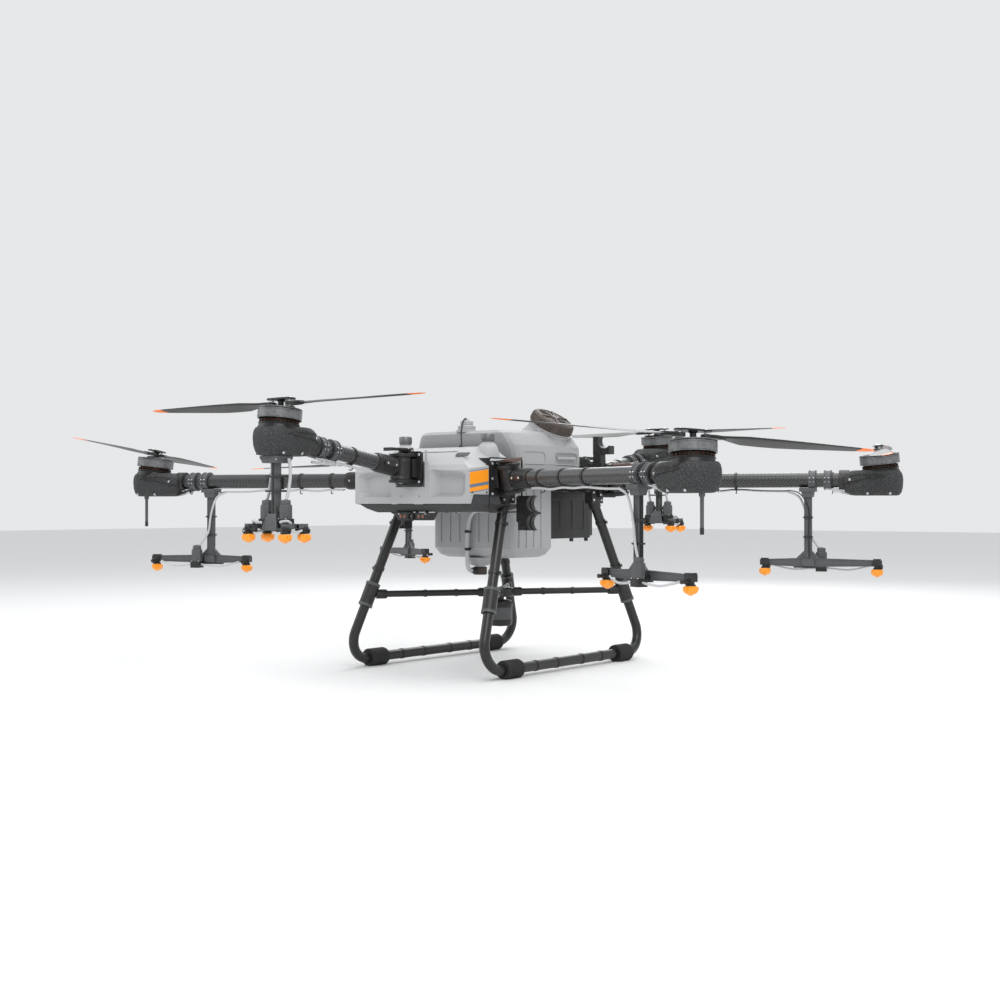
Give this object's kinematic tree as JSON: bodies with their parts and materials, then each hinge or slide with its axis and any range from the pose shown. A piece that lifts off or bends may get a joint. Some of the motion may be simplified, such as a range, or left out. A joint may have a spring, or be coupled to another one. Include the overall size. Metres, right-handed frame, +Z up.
{
  "type": "agricultural spray drone",
  "caption": "Foldable multirotor crop sprayer with tilted motors, underslung spray booms, translucent liquid tank, tail battery bay and tubular skid landing gear.",
  "frame": {"origin": "on the ground below the middle of the airframe", "axes": "-Y towards the nose, +X to the right of the picture (the aircraft's left when seen from its tail), +Z up"},
  "size_m": [2.3681, 1.8884, 0.7472],
  "materials": {
    "carbon_tube": "woven carbon composite tube, satin",
    "pod_foam": "speckled moulded foam-plastic casing",
    "boom_plastic": "black glass-filled nylon",
    "motor_alloy": "black anodised alloy",
    "blade_composite": "satin composite blade with light tip",
    "lever_plastic": "black nylon",
    "shell_plastic": "light grey moulded shell",
    "tray_plastic": "dark textured moulding",
    "frame_composite": "black composite plate",
    "tank_plastic": "translucent light grey polyethylene",
    "leg_alloy": "black coated alloy tube",
    "sleeve_rubber": "soft black foam rubber",
    "cap_plastic": "dark brown ridged cap",
    "battery_plastic": "dark grey moulded case",
    "button_plastic": "orange push button"
  },
  "bodies": {
    "airframe": {"front_shell": "shell_plastic", "belly_tray": "tray_plastic", "center_frame": "frame_composite", "arm_sockets": "frame_composite", "arm_cradles": "boom_plastic", "spray_tank": "tank_plastic", "tank_fittings": "boom_plastic", "landing_gear": "leg_alloy", "skid_sleeves": "sleeve_rubber", "battery_bay": "tray_plastic", "rtk_antennas": "boom_plastic", "spray_pumps": "boom_plastic", "camera_module": "tray_plastic", "flight_controller": "boom_plastic"},
    "arm_front": {"arm_tube_front": "carbon_tube", "motor_pod_front": "pod_foam", "spray_boom_front": "boom_plastic"},
    "prop_front": {"rotor_front": "motor_alloy"},
    "blade_front_a": {"blade_front_a": "blade_composite"},
    "blade_front_b": {"blade_front_b": "blade_composite"},
    "lever_front": {"lock_lever_front": "lever_plastic"},
    "arm_rear": {"arm_tube_rear": "carbon_tube", "motor_pod_rear": "pod_foam", "spray_boom_rear": "boom_plastic"},
    "prop_rear": {"rotor_rear": "motor_alloy"},
    "blade_rear_a": {"blade_rear_a": "blade_composite"},
    "blade_rear_b": {"blade_rear_b": "blade_composite"},
    "lever_rear": {"lock_lever_rear": "lever_plastic"},
    "arm_front_right": {"arm_tube_front_right": "carbon_tube", "motor_pod_front_right": "pod_foam", "spray_boom_front_right": "boom_plastic"},
    "prop_front_right": {"rotor_front_right": "motor_alloy"},
    "blade_front_right_a": {"blade_front_right_a": "blade_composite"},
    "blade_front_right_b": {"blade_front_right_b": "blade_composite"},
    "lever_front_right": {"lock_lever_front_right": "lever_plastic"},
    "arm_rear_right": {"arm_tube_rear_right": "carbon_tube", "motor_pod_rear_right": "pod_foam", "spray_boom_rear_right": "boom_plastic"},
    "prop_rear_right": {"rotor_rear_right": "motor_alloy"},
    "blade_rear_right_a": {"blade_rear_right_a": "blade_composite"},
    "blade_rear_right_b": {"blade_rear_right_b": "blade_composite"},
    "lever_rear_right": {"lock_lever_rear_right": "lever_plastic"},
    "arm_front_left": {"arm_tube_front_left": "carbon_tube", "motor_pod_front_left": "pod_foam", "spray_boom_front_left": "boom_plastic"},
    "prop_front_left": {"rotor_front_left": "motor_alloy"},
    "blade_front_left_a": {"blade_front_left_a": "blade_composite"},
    "blade_front_left_b": {"blade_front_left_b": "blade_composite"},
    "lever_front_left": {"lock_lever_front_left": "lever_plastic"},
    "arm_rear_left": {"arm_tube_rear_left": "carbon_tube", "motor_pod_rear_left": "pod_foam", "spray_boom_rear_left": "boom_plastic"},
    "prop_rear_left": {"rotor_rear_left": "motor_alloy"},
    "blade_rear_left_a": {"blade_rear_left_a": "blade_composite"},
    "blade_rear_left_b": {"blade_rear_left_b": "blade_composite"},
    "lever_rear_left": {"lock_lever_rear_left": "lever_plastic"},
    "tank_cap_body": {"tank_cap": "cap_plastic"},
    "radar": {"radar_head": "tray_plastic"},
    "battery_pack": {"battery": "battery_plastic"},
    "battery_key": {"battery_button": "button_plastic"}
  },
  "joints": [
    {"name": "front_arm_fold", "type": "hinge", "parent": "airframe", "child": "arm_front", "pos_m": [0, -0.425, 0.558], "axis": [0, 0, -1], "range_deg": [-90, 0]},
    {"name": "front_rotor_spin", "type": "hinge", "parent": "arm_front", "child": "prop_front", "pos_m": [0, -0.86, 0.66601], "axis": [0, 0.1132, 0.9936], "continuous": true},
    {"name": "front_blade_a_fold", "type": "hinge", "parent": "prop_front", "child": "blade_front_a", "pos_m": [0.032, -0.85603, 0.70582], "axis": [0, 0.1132, 0.9936], "range_deg": [0, 79]},
    {"name": "front_blade_b_fold", "type": "hinge", "parent": "prop_front", "child": "blade_front_b", "pos_m": [-0.032, -0.85492, 0.70569], "axis": [0, -0.1132, -0.9936], "range_deg": [0, 80]},
    {"name": "front_lock_lever", "type": "hinge", "parent": "airframe", "child": "lever_front", "pos_m": [0, -0.405, 0.605], "axis": [-1, 0, 0], "range_deg": [0, 35]},
    {"name": "rear_arm_fold", "type": "hinge", "parent": "airframe", "child": "arm_rear", "pos_m": [0, 0.425, 0.558], "axis": [0, 0, -1], "range_deg": [-90, 0]},
    {"name": "rear_rotor_spin", "type": "hinge", "parent": "arm_rear", "child": "prop_rear", "pos_m": [0, 0.86, 0.66601], "axis": [0, -0.1132, 0.9936], "continuous": true},
    {"name": "rear_blade_a_fold", "type": "hinge", "parent": "prop_rear", "child": "blade_rear_a", "pos_m": [-0.032, 0.85547, 0.70575], "axis": [0, -0.1132, 0.9936], "range_deg": [0, 78]},
    {"name": "rear_blade_b_fold", "type": "hinge", "parent": "prop_rear", "child": "blade_rear_b", "pos_m": [0.032, 0.85547, 0.70575], "axis": [0, 0.1132, -0.9936], "range_deg": [0, 77.2]},
    {"name": "rear_lock_lever", "type": "hinge", "parent": "airframe", "child": "lever_rear", "pos_m": [0, 0.405, 0.605], "axis": [1, 0, 0], "range_deg": [0, 35]},
    {"name": "front_right_arm_fold", "type": "hinge", "parent": "airframe", "child": "arm_front_right", "pos_m": [0.24, -0.255, 0.53], "axis": [-0.0808, -0.228, 0.9703], "range_deg": [0, 93]},
    {"name": "front_right_rotor_spin", "type": "hinge", "parent": "arm_front_right", "child": "prop_front_right", "pos_m": [0.94604, -0.50502, 0.573], "axis": [-0.0582, 0.0962, 0.9937], "continuous": true},
    {"name": "front_right_blade_a_fold", "type": "hinge", "parent": "prop_front_right", "child": "blade_front_right_a", "pos_m": [0.96, -0.47369, 0.61104], "axis": [-0.0582, 0.0962, 0.9937], "range_deg": [0, 101]},
    {"name": "front_right_blade_b_fold", "type": "hinge", "parent": "prop_front_right", "child": "blade_front_right_b", "pos_m": [0.92742, -0.52867, 0.61445], "axis": [0.0582, -0.0962, -0.9937], "range_deg": [0, 68.1]},
    {"name": "front_right_lock_lever", "type": "hinge", "parent": "airframe", "child": "lever_front_right", "pos_m": [0.21735, -0.25904, 0.5756], "axis": [-0.3239, -0.9146, -0.2419], "range_deg": [0, 75]},
    {"name": "rear_right_arm_fold", "type": "hinge", "parent": "airframe", "child": "arm_rear_right", "pos_m": [0.24, 0.255, 0.53], "axis": [-0.0779, 0.2201, -0.9724], "range_deg": [0, 100]},
    {"name": "rear_right_rotor_spin", "type": "hinge", "parent": "arm_rear_right", "child": "prop_rear_right", "pos_m": [0.94604, 0.50502, 0.573], "axis": [-0.0582, -0.0962, 0.9937], "continuous": true},
    {"name": "rear_right_blade_a_fold", "type": "hinge", "parent": "prop_rear_right", "child": "blade_rear_right_a", "pos_m": [0.9581, 0.47265, 0.61083], "axis": [0.0582, 0.0962, -0.9937], "range_deg": [0, 97.1]},
    {"name": "rear_right_blade_b_fold", "type": "hinge", "parent": "prop_rear_right", "child": "blade_rear_right_b", "pos_m": [0.92933, 0.5297, 0.61467], "axis": [-0.0582, -0.0962, 0.9937], "range_deg": [0, 75.5]},
    {"name": "rear_right_lock_lever", "type": "hinge", "parent": "airframe", "child": "lever_rear_right", "pos_m": [0.22481, 0.23798, 0.5757], "axis": [0.3246, -0.9166, -0.2334], "range_deg": [0, 75]},
    {"name": "front_left_arm_fold", "type": "hinge", "parent": "airframe", "child": "arm_front_left", "pos_m": [-0.24, -0.255, 0.53], "axis": [-0.0808, 0.228, -0.9703], "range_deg": [0, 93]},
    {"name": "front_left_rotor_spin", "type": "hinge", "parent": "arm_front_left", "child": "prop_front_left", "pos_m": [-0.94604, -0.50502, 0.573], "axis": [0.0582, 0.0962, 0.9937], "continuous": true},
    {"name": "front_left_blade_a_fold", "type": "hinge", "parent": "prop_front_left", "child": "blade_front_left_a", "pos_m": [-0.95859, -0.47291, 0.61088], "axis": [-0.0582, -0.0962, -0.9937], "range_deg": [0, 98.1]},
    {"name": "front_left_blade_b_fold", "type": "hinge", "parent": "prop_front_left", "child": "blade_front_left_b", "pos_m": [-0.92883, -0.52944, 0.61461], "axis": [0.0582, 0.0962, 0.9937], "range_deg": [0, 72.9]},
    {"name": "front_left_lock_lever", "type": "hinge", "parent": "airframe", "child": "lever_front_left", "pos_m": [-0.21735, -0.25904, 0.5756], "axis": [-0.3239, 0.9146, 0.2419], "range_deg": [0, 75]},
    {"name": "rear_left_arm_fold", "type": "hinge", "parent": "airframe", "child": "arm_rear_left", "pos_m": [-0.24, 0.255, 0.53], "axis": [-0.0779, -0.2201, 0.9724], "range_deg": [0, 100]},
    {"name": "rear_left_rotor_spin", "type": "hinge", "parent": "arm_rear_left", "child": "prop_rear_left", "pos_m": [-0.94604, 0.50502, 0.573], "axis": [0.0582, -0.0962, 0.9937], "continuous": true},
    {"name": "rear_left_blade_a_fold", "type": "hinge", "parent": "prop_rear_left", "child": "blade_rear_left_a", "pos_m": [-0.95859, 0.47291, 0.61088], "axis": [0.0582, -0.0962, 0.9937], "range_deg": [0, 98.1]},
    {"name": "rear_left_blade_b_fold", "type": "hinge", "parent": "prop_rear_left", "child": "blade_rear_left_b", "pos_m": [-0.92883, 0.52944, 0.61461], "axis": [-0.0582, 0.0962, -0.9937], "range_deg": [0, 69.5]},
    {"name": "rear_left_lock_lever", "type": "hinge", "parent": "airframe", "child": "lever_rear_left", "pos_m": [-0.22481, 0.23798, 0.5757], "axis": [0.3246, 0.9166, 0.2334], "range_deg": [0, 75]},
    {"name": "tank_cap_turn", "type": "hinge", "parent": "airframe", "child": "tank_cap_body", "pos_m": [0.15, 0.055, 0.7], "axis": [0.5, 0, 0.866], "range_deg": [0, 90]},
    {"name": "radar_spin", "type": "hinge", "parent": "airframe", "child": "radar", "pos_m": [0, 0, 0.184], "axis": [0, 0, 1], "continuous": true},
    {"name": "battery_slide", "type": "slide", "parent": "airframe", "child": "battery_pack", "axis": [0, 1, 0], "range_m": [0, 0.2]},
    {"name": "battery_button_press", "type": "slide", "parent": "battery_pack", "child": "battery_key", "axis": [0, -1, 0], "range_m": [0, 0.002], "stiffness_N_per_m": 400}
  ],
  "couplings": [
    {"joint": "front_blade_a_fold", "follows": "front_arm_fold", "ratio": -0.87769},
    {"joint": "front_blade_b_fold", "follows": "front_arm_fold", "ratio": -0.8888},
    {"joint": "rear_blade_a_fold", "follows": "rear_arm_fold", "ratio": -0.86658},
    {"joint": "rear_blade_b_fold", "follows": "rear_arm_fold", "ratio": -0.85769},
    {"joint": "front_right_blade_a_fold", "follows": "front_right_arm_fold", "ratio": 1.0859},
    {"joint": "front_right_blade_b_fold", "follows": "front_right_arm_fold", "ratio": 0.73218},
    {"joint": "rear_right_blade_a_fold", "follows": "rear_right_arm_fold", "ratio": 0.9709},
    {"joint": "rear_right_blade_b_fold", "follows": "rear_right_arm_fold", "ratio": 0.75492},
    {"joint": "front_left_blade_a_fold", "follows": "front_left_arm_fold", "ratio": 1.0547},
    {"joint": "front_left_blade_b_fold", "follows": "front_left_arm_fold", "ratio": 0.78379},
    {"joint": "rear_left_blade_a_fold", "follows": "rear_left_arm_fold", "ratio": 0.9809},
    {"joint": "rear_left_blade_b_fold", "follows": "rear_left_arm_fold", "ratio": 0.69493}
  ]
}
